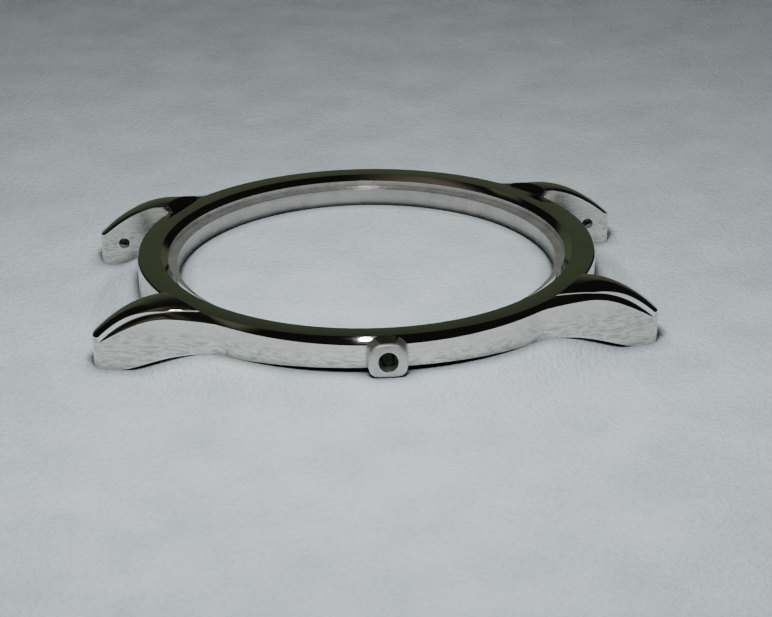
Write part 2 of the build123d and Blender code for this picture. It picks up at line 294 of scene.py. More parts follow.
def roundCorners(corners, radius, steps=4):
    # corners: (across, up, finish of the run that follows); each corner becomes a small arc
    rounded = []
    count = len(corners)
    for index, (x, z, finish) in enumerate(corners):
        here = Vector((x, z))
        before = Vector(corners[index - 1][:2]) - here
        after = Vector(corners[(index + 1) % count][:2]) - here
        room = 0.45 * min(before.length, after.length)  # neighbouring arcs never meet
        before.normalize()
        after.normalize()
        half = before.angle(after, pi) / 2
        reach = min(radius / max(tan(half), 0.05), room)
        size = reach * tan(half)
        centre = here + (before + after).normalized() * (size / max(sin(half), 0.01))
        start, end = here + before * reach - centre, here + after * reach - centre
        turn = start.angle(end, 0.0)
        for step in range(steps + 1):
            share = step / steps
            if turn > 0.001:
                spot = centre + (start * sin((1 - share) * turn) + end * sin(share * turn)) / sin(turn)
            else:
                spot = centre + start.lerp(end, share)
            shown = finish if step * 2 >= steps else corners[index - 1][2]
            rounded.append((spot.x, spot.y, 1 - abs(2 * share - 1), shown))
    return rounded


# Band: turned ring with a shoulder and an underside bevel that fade towards the strap

band = dict(
    radius=bandHigh.y, height=bandHigh.z, shoulder=0.25, crownShoulder=0.48, flat=1.75, rimBevel=0.6,
    rimDrop=0.42, ledge=0.8, ledgeDrop=0.95, backWall=2.3, backDepth=0.5, dropCrown=0.6, dropStrap=0.32,
    fadeStart=0.78, fadeSpan=0.13, dropFade=0.66, widthFade=0.6, bevelRise=0.49, bevelRun=1.2, bevelStop=0.6,
    leastRun=0.03, leastRise=0.02, edge=0.04, columns=720)
flatOuter = band["radius"] - band["shoulder"]
flatInner = flatOuter - band["flat"]
crystalRadius = flatInner - band["rimBevel"]
movementRadius = crystalRadius - band["ledge"]
backRadius = band["radius"] - band["backWall"]


def strapShare(angle):
    # rises from 0 to 1 between the lugs' outer sides and the strap
    share = min(max((abs(sin(angle)) - band["fadeStart"]) / band["fadeSpan"], 0), 1)
    return share * share * (3 - 2 * share)


def shoulderDrop(angle):
    drop = 1 / (cos(angle) ** 2 / band["dropCrown"] + sin(angle) ** 2 / band["dropStrap"])
    return drop * (1 - band["dropFade"] * strapShare(angle))


def shoulderWidth(angle):
    # the shoulder is widest at the crown and thin at the strap
    width = band["shoulder"] + (band["crownShoulder"] - band["shoulder"]) * cos(angle) ** 4
    return width * (1 - band["widthFade"] * strapShare(angle))


def bevelFoot(angle, bevelEnd):
    # radius at which the bevel under the satin side meets the underside
    endAngle = asin(bevelEnd / band["radius"])
    lowX = band["radius"] - band["bevelRun"]
    lowY = sin(endAngle) / sqrt(1 / band["radius"] ** 2 - (cos(endAngle) / lowX) ** 2)
    foot = 1 / sqrt((cos(angle) / lowX) ** 2 + (sin(angle) / lowY) ** 2)
    return min(foot, band["radius"] - band["leastRun"])


def bevelTop(foot):
    # height at which the bevel meets the satin side
    rise = (band["radius"] / foot - 1) * (band["radius"] - band["bevelRun"])
    return rise * band["bevelRise"] / band["bevelRun"]


def bandCorners(angle, bevelEnd):
    foot = bevelFoot(angle, bevelEnd)
    rise = max(bevelTop(foot), band["leastRise"])
    top = band["height"]
    return [
        (backRadius, 0, "ground"), (foot, 0, "polished"), (band["radius"], rise, "satin"),
        (band["radius"], top - shoulderDrop(angle), "polished"),
        (band["radius"] - shoulderWidth(angle), top, "polished"), (flatInner, top, "polished"),
        # the crystal wall and the ledge take the darkened seat steel, as painted shade
        (crystalRadius, top - band["rimDrop"], "seat"), (crystalRadius, top - band["ledgeDrop"], "seat"),
        (movementRadius, top - band["ledgeDrop"], "turned"), (movementRadius, band["backDepth"], "turned"),
        (backRadius, band["backDepth"], "turned"),
    ]


def buildBand(bevelEnd):
    points, wearAndSheen, faces, shown, grain = [], [], [], [], []
    columns = band["columns"]
    for column in range(columns):
        angle = 2 * pi * column / columns
        loop = roundCorners(bandCorners(angle, bevelEnd), band["edge"])
        for radius, z, wornAndSheen, finish in loop:
            points.append((radius * cos(angle), radius * sin(angle), z))
            wearAndSheen.append(wornAndSheen)
    count = len(loop)
    lengths = [0.0]
    for step in range(count):
        here, there = loop[step], loop[(step + 1) % count]
        lengths.append(lengths[-1] + hypot(there[0] - here[0], there[1] - here[1]))
    stepAround = 2 * pi * band["radius"] / columns
    for column in range(columns):
        after = (column + 1) % columns
        for step in range(count):
            following = (step + 1) % count
            faces.append((column * count + step, after * count + step,
                          after * count + following, column * count + following))
            shown.append(loop[step][3])
            here, there = lengths[step], lengths[step + 1]
            near, far = column * stepAround, (column + 1) * stepAround
            grain.append(((near, here), (far, here), (far, there), (near, there)))
    return buildPiece("turned-band", points, wearAndSheen, faces, shown, grain, "case_band")


# Lugs: rolled upper tier over a bevelled lower one, bent down to the strap

lug = dict(
    inner=lugLow.x, endWidth=2.4, reach=lugHigh.y, endCrown=0.5, footAngle=41.04, hollow=2.5, corner=0.45,
    crest=lugHigh.z, rest=lugLow.z, bendLength=6.5, bendFall=0.0712, rootFall=0.0167,
    rollOffset=1.0, rollRadius=5.6, tierDrop=0.53, tipDrop=0.04, tipLength=4.6, stepLimit=3.1,
    bevelWidth=0.6, bevelDrop=0.31, bevelCrown=0.75, bevelTaper=2.85, bevelPoint=0.5, bevelFade=1.8,
    rootSlope=1.6, rootEdge=0.07, rootReach=0.8, rootWearAndSheen=0.05, seatDepth=0.25, seatDrop=0.2, seatBottom=0.1,
    edge=0.05, softCrest=0.05, stepLean=0.01, wearAndSheenDepth=0.12, edgeSteps=4, rollColumns=26, bevelColumns=14,
    rootRows=8, rows=96, underside=((0.38, 0.19), (0.61, 0.61), (0.86, 1.0)))
lug["outer"] = lug["inner"] + lug["endWidth"]
lug["cornerReach"] = lug["reach"] - lug["endCrown"]
lug["bendStart"] = lug["reach"] - lug["bendLength"]
footAcross = band["radius"] * cos(radians(lug["footAngle"]))
footAlong = band["radius"] * sin(radians(lug["footAngle"]))
taper = atan2(footAcross - lug["outer"], lug["cornerReach"] - footAlong)
sideDistance = lug["outer"] * cos(taper) + lug["cornerReach"] * sin(taper)
hollowReach = band["radius"] + lug["hollow"]
hollowAngle = taper + acos((sideDistance + lug["hollow"]) / hollowReach)
hollowX, hollowY = hollowReach * cos(hollowAngle), hollowReach * sin(hollowAngle)
bevelEnd = band["radius"] * sin(hollowAngle) - band["bevelStop"]
sideStart = hollowY - lug["hollow"] * sin(taper)  # where the straight side begins
bandStart = band["radius"] * sin(hollowAngle)     # where the hollow meets the band
stepLimit = lug["inner"] + lug["stepLimit"]
endRadius = (lug["endWidth"] ** 2 / 4 + lug["endCrown"] ** 2) / (2 * lug["endCrown"])
endX, endY = lug["inner"] + lug["endWidth"] / 2, lug["reach"] - endRadius


def sideX(y):
    if y >= sideStart:
        return lug["outer"] + (lug["cornerReach"] - y) * tan(taper)
    if y >= bandStart:
        return hollowX - sqrt(lug["hollow"] ** 2 - (y - hollowY) ** 2)
    return y / tan(hollowAngle)


def bevelWidthAt(y):
    # the bevel draws in to a point at the lug's end
    near = (y - lug["reach"] + lug["bevelPoint"] + lug["bevelTaper"]) / lug["bevelTaper"]
    return lug["bevelWidth"] * (1 - min(max(near, 0), 1) ** lug["bevelFade"])


def bevelX(y):
    wide = lug["hollow"] + lug["bevelWidth"]
    if y >= hollowY - wide * sin(taper):
        return lug["outer"] + (lug["cornerReach"] - y) * tan(taper) - bevelWidthAt(y) / cos(taper)
    return hollowX - sqrt(wide ** 2 - (y - hollowY) ** 2)


def stepX(y):
    return min(stepLimit, bevelX(y))


def sideGap(x, y):
    # distance from the outer side, or from the hollow
    if (y - hollowY) * cos(taper) > (x - hollowX) * sin(taper):
        return sideDistance - x * cos(taper) - y * sin(taper)
    return hypot(x - hollowX, y - hollowY) - lug["hollow"]


def bentHeight(inset, y):
    # height of a line that runs under the crest at a distance, along the lug's bend
    along = y - lug["bendStart"]
    fall = lug["bendFall"] if along >= 0 else lug["rootFall"]
    slope = 2 * fall * along
    return lug["crest"] - fall * along ** 2 - inset * sqrt(1 + slope ** 2)


def rollHeight(x, y):
    off = x - lug["inner"] - lug["rollOffset"]
    return bentHeight(lug["rollRadius"] - sqrt(lug["rollRadius"] ** 2 - off ** 2), y)


def tierInset(y):
    # the step grows deeper towards the lug's end
    near = min(max((y - lug["reach"]) / lug["tipLength"] + 1, 0), 1)
    return lug["tierDrop"] + lug["tipDrop"] * near


def bevelHeight(x, y):
    # the lower tier falls away from the foot of the step in a slightly crowned bevel
    wide = max(sideGap(stepX(y), y), 0.01)
    share = 1 - min(max(sideGap(x, y) / wide, 0), 1)
    drop = lug["bevelDrop"] * bevelWidthAt(y) / lug["bevelWidth"]
    crowned = share * (lug["bevelCrown"] + (1 - lug["bevelCrown"]) * share)
    return bentHeight(tierInset(y) + drop * crowned, y)


def tierHeight(x, y):
    return bentHeight(tierInset(y), y)


def rootedHeight(height, out):
    # the lug's top climbs steeply from the edge of the ring's flat, with a small rounding at the crest
    ramp = band["height"] + lug["rootSlope"] * out
    blend = max(lug["rootEdge"] - abs(height - ramp), 0)
    return min(height, ramp) - blend ** 2 / (4 * lug["rootEdge"])


def easedDrop(gap, size):
    # how much a small edge rounding takes off at a distance from the edge
    if gap >= size or size <= 0:
        return 0
    return size - sqrt(max(size ** 2 - (size - max(gap, 0)) ** 2, 0))


def undersideSlopes(places, heights):
    # slopes of a smooth curve through the places, level at both ends
    slopes = [0.0] * len(places)
    for _ in range(60):
        for index in range(1, len(places) - 1):
            left, right = places[index] - places[index - 1], places[index + 1] - places[index]
            pull = 3 * ((heights[index] - heights[index - 1]) / left ** 2
                        + (heights[index + 1] - heights[index]) / right ** 2)
            pull -= slopes[index - 1] / left + slopes[index + 1] / right
            slopes[index] = pull / (2 / left + 2 / right)
    return slopes


# the underside runs through these places: shares of the lug's length and of its fall
underLength = lug["reach"] - bevelEnd
underPlaces = [bevelEnd] + [bevelEnd + underLength * along for along, _ in lug["underside"]]
underHeights = [0.0] + [lug["rest"] * down for _, down in lug["underside"]]
underSlopes = undersideSlopes(underPlaces, underHeights)


def undersideHeight(y):
    if y >= underPlaces[-1]:
        return lug["rest"]
    y = max(y, bevelEnd)
    index = max(number for number, place in enumerate(underPlaces) if place <= y)
    length = underPlaces[index + 1] - underPlaces[index]
    t = (y - underPlaces[index]) / length
    return (underHeights[index] * (1 + 2 * t) * (1 - t) ** 2 + underHeights[index + 1] * (3 - 2 * t) * t ** 2
            + length * (underSlopes[index] * t * (1 - t) ** 2 - underSlopes[index + 1] * t ** 2 * (1 - t)))


def endGap(x, y):
    # distance inside the rounded end; corners of the end are rounded too
    gap = endRadius - hypot(x - endX, y - endY)
    small = lug["corner"]
    for across, along in endCorners:
        outX, outY = across - endX, along - endY
        toX, toY = x - across, y - along
        beyondArc = toX * outY - toY * outX
        leftSide = across < endX
        normal = (-1, 0) if leftSide else (cos(taper), sin(taper))
        beyondSide = toX * normal[1] - toY * normal[0]
        if leftSide and beyondArc < 0 and beyondSide > 0 or not leftSide and beyondArc > 0 and beyondSide < 0:
            gap = min(gap, small - hypot(toX, toY))
    return gap


def cornerCentre(normalX, normalY, distance):
    # centre of a corner rounding between the end's arc and a straight side
    inside = distance - lug["corner"] - (endX * normalX + endY * normalY)
    along = sqrt((endRadius - lug["corner"]) ** 2 - inside ** 2)
    tangentX, tangentY = (-normalY, normalX) if normalX > 0 else (normalY, -normalX)
    return endX + normalX * inside + tangentX * along, endY + normalY * inside + tangentY * along


endCorners = [cornerCentre(-1, 0, -lug["inner"]), cornerCentre(cos(taper), sin(taper), sideDistance)]


def crossing(measure, low, high, steps=44):
    # place between low and high where a rising measure passes zero
    for _ in range(steps):
        middle = (low + high) / 2
        if measure(middle) < 0:
            low = middle
        else:
            high = middle
    return (low + high) / 2


def lugColumns():
    # (left line, right line, share between them, offset, surface)
    columns = []
    edge, steps = lug["edge"], lug["edgeSteps"]
    offsets = [edge * (1 - cos(pi / 2 * step / steps)) for step in range(steps + 1)]
    for offset in offsets:
        columns.append(("inner", "inner", 0, offset, "roll"))
    for step in range(1, lug["rollColumns"]):
        share = step / lug["rollColumns"]
        share = 0.6 * share + 0.4 * (1 - cos(pi * share)) / 2  # closer together towards both edges
        columns.append(("inner", "step", share, edge * (1 - 2 * share), "roll"))
    for offset in reversed(offsets):
        columns.append(("step", "step", 0, -offset, "roll"))
    for step in range(lug["bevelColumns"]):
        share = step / lug["bevelColumns"]
        columns.append(("step", "side", share, lug["stepLean"] * (1 - share) - edge * share, "bevel"))
    for offset in reversed(offsets):
        columns.append(("side", "side", 0, -offset, "bevel"))
    return columns


lugLines = dict(inner=lambda y: lug["inner"], step=stepX, side=sideX)
lugSurfaces = dict(roll=rollHeight, bevel=bevelHeight)


def lugColumnPoints(column):
    # (x, y, top, bottom, wear and painted edge highlight) down one column, from inside the band to the lug's
    # end
    left, right, share, offset, surface = column
    height = lugSurfaces[surface]

    def across(y):
        return lugLines[left](y) * (1 - share) + lugLines[right](y) * share + offset

    def atRadius(radius):
        return crossing(lambda y: hypot(across(y), y) - radius, bevelEnd - band["bevelStop"], lug["reach"])

    seat = atRadius(flatOuter)
    level = band["height"]
    if height(across(seat), seat) > level:
        def overRoot(y):
            return level + lug["rootSlope"] * (hypot(across(y), y) - flatOuter) - height(across(y), y)
        crease = crossing(overRoot, seat, atRadius(flatOuter + lug["rootReach"]))
    else:
        crease = seat
    creaseOut = max(hypot(across(crease), crease) - flatOuter, 0)
    shortOf, pastEnd = lug["cornerReach"] - 1.2, lug["reach"] + 0.1
    end = crossing(lambda y: -endGap(across(y), y), shortOf, pastEnd)
    start = atRadius(flatOuter - lug["seatDepth"])
    places = [(start, lug["seatBottom"])]
    soft = min(lug["softCrest"], creaseOut / 3)
    for row in range(lug["rootRows"]):
        climbed = (creaseOut - soft) * row / (lug["rootRows"] - 1)
        places.append((atRadius(flatOuter + climbed) if row else seat, None))
    for part in (-0.5, 0, 0.5):
        places.append((atRadius(flatOuter + creaseOut + soft * part), None))
    clear = atRadius(flatOuter + creaseOut + soft)
    edge, steps = lug["edge"], lug["edgeSteps"]
    for row in range(lug["rows"]):
        places.append((clear + (end - edge - clear) * row / lug["rows"], None))
    for step in range(steps, -1, -1):
        places.append((end - edge * (1 - cos(pi / 2 * step / steps)), None))
    points = []
    for y, inBand in places:
        x = across(y)
        out = hypot(x, y) - flatOuter
        top = height(x, y)
        if out < lug["rootReach"]:
            top = rootedHeight(top, out)
        gap = min(x - lug["inner"], max(sideGap(x, y), 0), max(end - y, 0))
        drop = easedDrop(gap, edge)
        if surface == "roll" and inBand is None:
            wall = max(rollHeight(stepX(y), y) - tierHeight(0, y), 0)
            drop = max(drop, easedDrop(stepX(y) - x, min(edge, wall / 2)))
        top -= drop
        bottom = undersideHeight(y) + easedDrop(gap, edge)
        if inBand is not None:
            top = min(top, level) - lug["seatDrop"]
            bottom = inBand
        # wear and painted highlight: brighter on rounded edges, and a pale line along the crease at the top
        # of the root ramp
        wornAndSheen = min(drop / edge * 3, 1)
        if creaseOut > 0.02:
            wornAndSheen = max(wornAndSheen, 0.9 * max(1 - abs(out - creaseOut) / lug["rootWearAndSheen"], 0))
        points.append((x, y, top, bottom, wornAndSheen))
    return points


def buildLug(name, mirrorX, mirrorY):
    columns = lugColumns()
    grid = [lugColumnPoints(column) for column in columns]
    rows = len(grid[0])
    points, wearAndSheen = [], []
    for strip in grid:
        for x, y, top, bottom, wornAndSheen in strip:
            points.append((x * mirrorX, y * mirrorY, top))
            points.append((x * mirrorX, y * mirrorY, bottom))
            wearAndSheen += [wornAndSheen, wornAndSheen]

    def spot(column, row, under):
        return (column * rows + row) * 2 + under

    faces, shown, grain = [], [], []

    def addFace(corners, finish, first, second):
        faces.append(corners)
        shown.append(finish)
        grain.append([(points[corner][first], points[corner][second]) for corner in corners])

    last = len(columns) - 1
    for column in range(last):
        for row in range(rows - 1):
            addFace((spot(column, row, 0), spot(column + 1, row, 0),
                     spot(column + 1, row + 1, 0), spot(column, row + 1, 0)), "polished", 1, 0)
            addFace((spot(column, row, 1), spot(column, row + 1, 1),
                     spot(column + 1, row + 1, 1), spot(column + 1, row, 1)), "ground", 1, 0)
        for row in (0, rows - 1):
            addFace((spot(column, row, 0), spot(column + 1, row, 0),
                     spot(column + 1, row, 1), spot(column, row, 1)), "satin", 0, 2)
    for row in range(rows - 1):
        for column in (0, last):
            addFace((spot(column, row, 0), spot(column, row + 1, 0),
                     spot(column, row + 1, 1), spot(column, row, 1)), "satin", 1, 2)
    softenWallWearAndSheen(points, wearAndSheen, faces, shown, grain)
    return buildPiece(name.replace("_", "-"), points, wearAndSheen, faces, shown, grain, name)


def softenWallWearAndSheen(points, wearAndSheen, faces, shown, grain):
    # splits every upright wall near its edges, so that the wear and painted edge highlight stay on the edges
    for index in range(len(faces)):
        if shown[index] != "satin":
            continue
        first, second, third, fourth = faces[index]
        near, far = grain[index][0][0], grain[index][1][0]
        tall = min(abs(points[first][2] - points[fourth][2]), abs(points[second][2] - points[third][2]))
        if tall < 2.5 * lug["wearAndSheenDepth"]:
            continue
        rims = []
        for top, bottom in ((first, fourth), (second, third)):
            high, low = points[top], points[bottom]
            share = lug["wearAndSheenDepth"] / (high[2] - low[2])
            for part in (share, 1 - share):
                rims.append(len(points))
                points.append(tuple(a + (b - a) * part for a, b in zip(high, low)))
                wearAndSheen.append(0.0)
        upper, lower, farUpper, farLower = rims
        grainOf = dict(zip(faces[index], grain[index]))
        for rim, along in ((upper, near), (lower, near), (farUpper, far), (farLower, far)):
            grainOf[rim] = (along, points[rim][2])
        split = [(first, second, farUpper, upper), (upper, farUpper, farLower, lower),
                 (lower, farLower, third, fourth)]
        faces[index] = split[0]
        grain[index] = [grainOf[corner] for corner in split[0]]
        for corners in split[1:]:
            faces.append(corners)
            shown.append("satin")
            grain.append([grainOf[corner] for corner in corners])


springHole = dict(radius=0.45, depth=1.5, setback=2.1, height=0.1, rim=0.05, tip=0.25)


def springHoleCutter(mirrorX, mirrorY):
    # a blind hole with a small countersink and a cone at its end, in the lug's inner face
    face, depth, radius, rim = lug["inner"], springHole["depth"], springHole["radius"], springHole["rim"]
    profile = [(face - 1, 0.0), (face - 1, radius + rim), (face, radius + rim), (face + rim, radius),
               (face + depth - springHole["tip"], radius), (face + depth, 0.0)]
    profile = [(x * mirrorX, across) for x, across in profile]
    along = (lug["reach"] - springHole["setback"]) * mirrorY
    return holeCutter("spring hole cutter", profile, along, springHole["height"])


caseBand = buildBand(bevelEnd)
print("band made,", len(caseBand.data.polygons), "faces")

lugPlaces = dict(
    lug_one_oclock=(1, 1), lug_five_oclock=(1, -1), lug_seven_oclock=(-1, -1), lug_eleven_oclock=(-1, 1))
for lugName, (mirrorX, mirrorY) in lugPlaces.items():
    madeLug = buildLug(lugName, mirrorX, mirrorY)
    drill(madeLug, springHoleCutter(mirrorX, mirrorY))
    shade(madeLug)
    print(lugName, "made,", len(madeLug.data.polygons), "faces")


# Crown boss: rounded collar that flows out of the satin side, with the stem hole

boss = dict(
    width=bossHigh.y - bossLow.y, foot=0.03, top=2.9, corner=0.9, topCorner=1.15, face=bossHigh.x, edge=0.4,
    topEdge=0.22, stem=1.45, hole=0.79, holeRim=0.05, holeDepth=1.1, lean=0.07, leanStart=1.0, lift=0.12,
    flare=0.14, topFlare=0.3, sink=0.02, buried=0.12, lid=0.04, bunchReach=2.2, bunch=0.55, sides=160,
    rimSteps=4, edgeSteps=10, flankSteps=12)
boss["middle"] = (boss["top"] + boss["foot"]) / 2
boss["height"] = boss["top"] - boss["foot"]


def bandSurfaceX(y, z):
    # how far out the band's side, shoulder or bevel stands at a place
    angle = asin(max(min(y / band["radius"], 1), -1))
    drop = shoulderDrop(angle)
    radius = band["radius"]
    if z > band["height"] - drop:
        radius -= (z - band["height"] + drop) * shoulderWidth(angle) / drop
    foot = bevelFoot(angle, bevelEnd)
    rise = bevelTop(foot)
    if z < rise:
        radius = foot + (band["radius"] - foot) * max(z, 0) / rise
    return sqrt(radius ** 2 - y ** 2)


def bossEdge(outZ):
    # the edge is rounded more along the top
    return boss["edge"] + (boss["topEdge"] - boss["edge"]) * max(outZ, 0) ** 2


def bossFace(z):
    # the face leans back towards the ring's top
    return boss["face"] - boss["lean"] * max(z - boss["leanStart"], 0) ** 2


def bossOutline(share):
    # points and outward directions round the collar; share is how far the edge rounding has drawn in
    outline = []
    for side in range(boss["sides"]):
        angle = 2 * pi * (side + 0.5) / boss["sides"]
        outY, outZ = cos(angle), sin(angle)
        corner = boss["topCorner"] if outZ > 0 else boss["corner"]
        halfY, halfZ = boss["width"] / 2 - corner, boss["height"] / 2 - corner
        # few points on the straights, most on the corners
        reachY = min(abs(outY) * boss["bunchReach"], 1) ** boss["bunch"]
        reachZ = min(abs(outZ) * boss["bunchReach"], 1) ** boss["bunch"]
        spotY = halfY * (1 if outY > 0 else -1) * reachY
        spotZ = halfZ * (1 if outZ > 0 else -1) * reachZ
        reach = corner - bossEdge(outZ) * share
        outline.append((spotY + outY * reach, boss["middle"] + spotZ + outZ * reach, outY, outZ))
    return outline


def buildBoss():
    points, wearAndSheen, faces, shown, grain = [], [], [], [], []
    rings = []
    sides, steps = boss["sides"], boss["edgeSteps"]

    def addRing(spots, wornAndSheen, finish):
        rings.append((len(points), finish))
        points.extend(spots)
        wearAndSheen.extend([wornAndSheen] * sides)

    circle = [(outY, outZ) for _, _, outY, outZ in bossOutline(0)]
    deep, hole, stem = boss["face"] - boss["holeDepth"], boss["hole"], boss["stem"]
    addRing([(deep, y * hole, stem + z * hole) for y, z in circle], 0, "shadedDrilled")
    for step in range(boss["rimSteps"] + 1):
        turn = pi / 2 * step / boss["rimSteps"]
        radius = hole + boss["holeRim"] * (1 - cos(turn))
        depth = boss["holeRim"] * (1 - sin(turn))
        addRing([(bossFace(stem + z * radius) - depth, y * radius, stem + z * radius) for y, z in circle],
                0.5 * sin(2 * turn), "polished" if step < boss["rimSteps"] else "matt")
    rimOut = hole + boss["holeRim"]
    inner = bossOutline(1)
    for share in (0.2, 0.4, 0.6, 0.8):  # across the face, from the hole's rim to the edge
        spots = []
        for (y, z), (spotY, spotZ, _, _) in zip(circle, inner):
            placeZ = (stem + z * rimOut) * (1 - share) + spotZ * share
            spots.append((bossFace(placeZ), y * rimOut * (1 - share) + spotY * share, placeZ))
        addRing(spots, 0, "matt")
    for step in range(steps + 1):
        turn = pi / 2 * step / steps
        outline = bossOutline(1 - sin(turn))
        addRing([(bossFace(z) - bossEdge(outZ) * (1 - cos(turn)), y, z) for y, z, _, outZ in outline],
                0.3 * sin(2 * turn), "matt")
    flank = rings[-1][0]
    for step in range(1, boss["flankSteps"] + 1):
        turn = pi / 2 * step / boss["flankSteps"]
        spots = []
        for y, z, outY, outZ in bossOutline(0):
            flare = (boss["flare"] + boss["topFlare"] * max(outZ, 0)) * abs(outY)
            grow = flare * (1 - cos(turn))
            begin = bossFace(z) - bossEdge(outZ)
            raised = z + boss["lift"] * max(outZ, 0) ** 2 * sin(turn)
            end = bandSurfaceX(y + outY * flare, raised) - boss["sink"]
            spots.append((begin - (begin - end) * sin(turn), y + outY * grow, raised))
        addRing(spots, 0, "matt")
    addRing([(x - boss["buried"], y, z) for x, y, z in points[-sides:]], 0, "matt")
    for (low, finish), (high, _) in zip(rings, rings[1:] + rings[:1]):
        for side in range(sides):
            after = (side + 1) % sides
            corners = (low + side, low + after, high + after, high + side)
            faces.append(corners)
            lowest = min(points[corner][2] for corner in corners)  # the flank's top shines like the shoulder
            shown.append("polished" if low >= flank and lowest > boss["top"] - boss["lid"] else finish)
            grain.append([(points[corner][1], points[corner][2] + points[corner][0]) for corner in corners])
    piece = buildPiece("crown-boss", points, wearAndSheen, faces, shown, grain, "crown_boss")
    shade(piece, 40)
    return piece


crownBoss = buildBoss()
print("crown boss made")


# Crown tube, pressed into the boss

tube = dict(
    outer=0.785, bore=0.65, mouth=tubeHigh.x, foot=tubeLow.x, rim=0.03, sides=96, sink=0.7, sinkRadius=0.755,
    grooves=5, grooveDepth=0.03, grooveShare=0.3, seatRadius=0.82, seatGap=0.03)


def buildTube():
    # a thin wall at the mouth, then a step down to the stem's bore
    rim, bore, outer = tube["rim"], tube["bore"], tube["outer"]
    step = tube["mouth"] - tube["sink"]
    profile = [(tube["foot"], outer), (tube["mouth"], outer), (tube["mouth"], tube["sinkRadius"]),
               (step, tube["sinkRadius"]), (step, bore + rim), (step - rim, bore)]
    length = step - rim - tube["foot"]
    for groove in range(tube["grooves"]):
        place = step - rim - length * (groove + 0.5) / tube["grooves"]
        half = length / tube["grooves"] * tube["grooveShare"]
        profile += [(place + half, bore), (place, bore + tube["grooveDepth"]), (place - half, bore)]
    profile.append((tube["foot"], bore))
    points, faces = latheOnX(profile, 0, boss["stem"], tube["sides"])
    grain = []
    for face in faces:
        places = [points[spot] for spot in face]
        grain.append([(atan2(z - boss["stem"], y), x) for x, y, z in places])
    # the whole tube takes the dark steel, as painted shade inside the stem's hole
    wearAndSheen, shown = [0.0] * len(points), ["shadedDrilled"] * len(faces)
    piece = buildPiece("crown-tube", points, wearAndSheen, faces, shown, grain, "crown_tube")
    shade(piece, 40)
    return piece


crownTube = buildTube()

# the stem's hole, with a wider seat for the tube; the cutter runs past the band on both sides
inside, outside, seatStart = movementRadius - 1, boss["face"] + 1, tube["foot"] - tube["seatGap"]
stemProfile = [(inside, 0.0), (inside, tube["bore"]), (seatStart, tube["bore"]),
               (seatStart, tube["seatRadius"]), (outside, tube["seatRadius"]), (outside, 0.0)]
drill(caseBand, holeCutter("stem hole cutter", stemProfile, 0, boss["stem"], 64))
shade(caseBand)
print("tube and stem hole made")


# Floor, lights and camera

floorLook = dict(
    halfWidth=420.0, mirroredWidth=135.0, sides=160, level=lugLow.z, swell=1.92, swellStart=19.2,
    swellEnd=24.4, crownReach=2.2, insideReach=16.7, insideRim=0.7, inside=0.62, leanReach=20.5,
    leanSpan=1.5, lean=0.12, shadeReach=1.7, shadePower=1.3, dark=(0.42, 0.465, 0.485),
    light=(0.535, 0.59, 0.61), napScale=2.8, napDepth=0.3, softScale=0.16)


def floorMaterial():
    # brushed cloth: soft clouds of tone under a short nap, with painted shade darkening it near the case
    material = bpy.data.materials.new("pale cloth")
    material.use_nodes = True
    tree = material.node_tree
    surface = tree.nodes["Principled BSDF"]
    surface.inputs["Roughness"].default_value = 0.95
    surface.inputs["Specular IOR Level"].default_value = 0.1
    clouds = bodyNoise(tree, floorLook["softScale"], 5.0)
    nap = bodyNoise(tree, floorLook["napScale"], 6.0)
    both = node(tree, "Mix", {"Factor": 0.45})
    tree.links.new(clouds, both.inputs["A"])
    tree.links.new(nap, both.inputs["B"])
    tone = node(tree, "ValToRGB")
    tone.color_ramp.elements[0].position = 0.36
    tone.color_ramp.elements[0].color = (*floorLook["dark"], 1)
    tone.color_ramp.elements[1].position = 0.62
    tone.color_ramp.elements[1].color = (*floorLook["light"], 1)
    relief = node(tree, "Bump", {"Strength": 0.8, "Distance": floorLook["napDepth"] * mm})
    # painted shade: an occlusion node darkens the cloth's colour close to the case, as a contact shadow
    shaded = node(tree, "AmbientOcclusion", {"Distance": floorLook["shadeReach"] * mm}, samples=12)
    depth = node(tree, "Math", {1: floorLook["shadePower"]}, operation="POWER")
    paintedShadeMix = node(tree, "Mix", {"Factor": 1.0}, data_type="RGBA", blend_type="MULTIPLY")
    tree.links.new(shaded.outputs["AO"], depth.inputs[0])
    tree.links.new(both.outputs["Result"], tone.inputs["Fac"])
    tree.links.new(tone.outputs["Color"], paintedShadeMix.inputs["A"])
    tree.links.new(depth.outputs["Value"], paintedShadeMix.inputs["B"])
    tree.links.new(paintedShadeMix.outputs["Result"], surface.inputs["Base Color"])
    tree.links.new(nap, relief.inputs["Height"])
    tree.links.new(relief.outputs["Normal"], surface.inputs["Normal"])
    return material


def floorHeight(radius, angle):
    # the cloth swells up under the ring, bulges inside it and leans on it at the crown;
    # the lug tips rest at its level
    crownwards = cos(angle) ** 4
    past = radius - floorLook["crownReach"] * crownwards - floorLook["swellStart"]
    share = min(max(past / (floorLook["swellEnd"] - floorLook["swellStart"]), 0), 1)
    height = floorLook["level"] + floorLook["swell"] * (1 - share * share * (3 - 2 * share))
    inside = min(max((floorLook["insideReach"] - radius) / floorLook["insideRim"], 0), 1)
    leaning = max(1 - abs(radius - floorLook["leanReach"]) / floorLook["leanSpan"], 0)
    return height + floorLook["inside"] * inside ** 0.7 + floorLook["lean"] * crownwards * leaning ** 0.6


def floorRadii():
    # rings of the mesh: even inside the case, fine round it, then ever wider
    radii = [0.5 * step for step in range(1, 31)]
    radii += [radii[-1] + 0.15 * step for step in range(1, 61)]
    while radii[-1] < floorLook["halfWidth"]:
        radii.append(radii[-1] * 1.12)
    return radii


